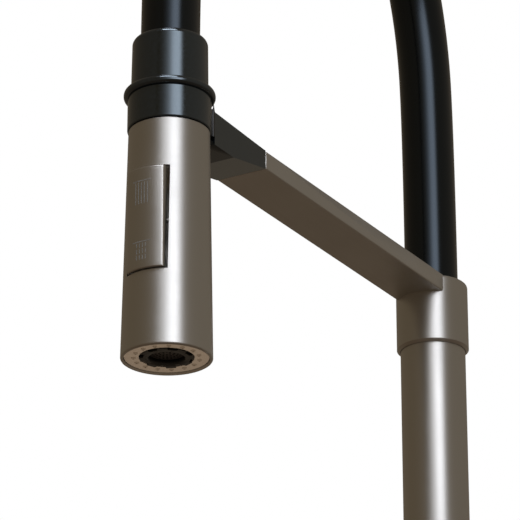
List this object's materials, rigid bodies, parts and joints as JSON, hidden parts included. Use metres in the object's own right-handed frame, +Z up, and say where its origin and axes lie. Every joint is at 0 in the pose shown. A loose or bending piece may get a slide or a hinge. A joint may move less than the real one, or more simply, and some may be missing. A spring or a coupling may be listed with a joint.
{
  "type": "pull down kitchen faucet",
  "caption": "Pull-down kitchen faucet: slim column with side lever, swivelling docking arm, free arch hose and a two-mode spray head.",
  "frame": {"origin": "the column's axis at the worktop's surface", "axes": "+Z up along the column; the arm and the spray point along -Y; the lever stands on the +X side"},
  "size_m": [0.092, 0.2584, 0.5813],
  "materials": {
    "brushed_steel": "fine circumferential brushing",
    "plain_steel": "plain turned",
    "black_metal": "satin black coat",
    "black_plastic": "fine moulded grain",
    "face_plastic": "taupe, fine moulded grain",
    "nozzle_rubber": "soft taupe rubber",
    "hose_rubber": "smooth black hose",
    "liner_rubber": "grey braided liner",
    "seal_rubber": "moulded seal rubber",
    "brass": "turned brass",
    "white_plastic": "moulded plastic",
    "grey_plastic": "moulded plastic",
    "disc_ceramic": "lapped ceramic",
    "nickel": "nickel plated"
  },
  "bodies": {
    "root": {"base_ring": "brushed_steel", "base_seal": "seal_rubber", "base_body": "brushed_steel", "column_screw": "plain_steel", "column_seal": "seal_rubber", "mounting_shank": "brass", "mounting_gasket": "seal_rubber", "mounting_washer": "plain_steel", "mounting_nut": "brass", "column_tube": "brushed_steel", "port_seals": "seal_rubber", "cartridge_housing": "white_plastic", "fixed_disc": "disc_ceramic", "cartridge_nut": "brass", "dome_cap": "brushed_steel", "column_insert": "brass", "thrust_washer": "white_plastic"},
    "carrier": {"stem_carrier": "white_plastic", "stem_pin": "plain_steel"},
    "lever": {"cartridge_stem": "plain_steel", "lever_hub": "brushed_steel", "lever_handle": "brushed_steel", "lever_screw": "plain_steel", "lever_plug": "grey_plastic"},
    "disc": {"moving_disc": "disc_ceramic", "disc_driver": "white_plastic"},
    "swivel_arm": {"hose_socket": "brass", "socket_seals": "seal_rubber", "socket_clip": "plain_steel", "swivel_collar": "brushed_steel", "swivel_bush": "white_plastic", "collar_screw": "plain_steel", "arm_bar": "brushed_steel", "dock_holder": "black_metal", "dock_screws": "plain_steel", "dock_cradle": "black_plastic", "dock_magnets": "nickel", "hose_sleeve": "hose_rubber", "hose_liner": "liner_rubber", "column_ferrule": "plain_steel"},
    "hose_end": {"end_collar": "black_metal", "dock_flange": "black_metal", "dock_sleeve": "black_metal", "keeper_ring": "plain_steel", "hose_nipple": "brass", "spray_ferrule": "plain_steel"},
    "spray_head": {"hose_nut": "brass", "hose_washer": "seal_rubber", "spray_shell": "brushed_steel", "spray_core": "white_plastic", "rocker_pin": "plain_steel", "inlet_filter": "plain_steel", "check_valve": "black_plastic", "face_plate": "face_plastic", "nozzle_mat": "nozzle_rubber", "aerator_ring": "black_plastic", "aerator_mesh": "plain_steel"},
    "rocker": {"mode_rocker": "brushed_steel"},
    "spool": {"diverter_spool": "brass", "spool_seals": "seal_rubber"}
  },
  "joints": [
    {"name": "lever_temperature", "type": "hinge", "parent": "root", "child": "carrier", "pos_m": [0.036, 0, 0.062], "axis": [1, 0, 0], "range_deg": [-45, 45]},
    {"name": "lever_flow", "type": "hinge", "parent": "carrier", "child": "lever", "pos_m": [0.036, 0, 0.062], "axis": [0, 1, 0], "range_deg": [0, 22]},
    {"name": "disc_slide", "type": "slide", "parent": "carrier", "child": "disc", "axis": [0, 0, 1], "range_m": [0, 0.004]},
    {"name": "arm_swivel", "type": "hinge", "parent": "root", "child": "swivel_arm", "pos_m": [0, 0, 0], "axis": [0, 0, 1], "continuous": true},
    {"name": "spray_release", "type": "slide", "parent": "swivel_arm", "child": "hose_end", "axis": [0, -0.866, -0.5], "range_m": [0, 0.12], "deforming": ["hose_sleeve", "hose_liner"]},
    {"name": "spray_swivel", "type": "hinge", "parent": "hose_end", "child": "spray_head", "pos_m": [0, -0.214, 0], "axis": [0, 0, 1], "continuous": true},
    {"name": "mode_rocker_tilt", "type": "hinge", "parent": "spray_head", "child": "rocker", "pos_m": [0, -0.2242, 0.24845], "axis": [-1, 0, 0], "range_deg": [0, 3.5]},
    {"name": "spool_slide", "type": "slide", "parent": "spray_head", "child": "spool", "axis": [0, 1, 0], "range_m": [0, 0.00105]}
  ],
  "couplings": [
    {"joint": "disc_slide", "follows": "lever_flow", "m_per_rad": 0.010342},
    {"joint": "spool_slide", "follows": "mode_rocker_tilt", "m_per_rad": 0.01705}
  ]
}
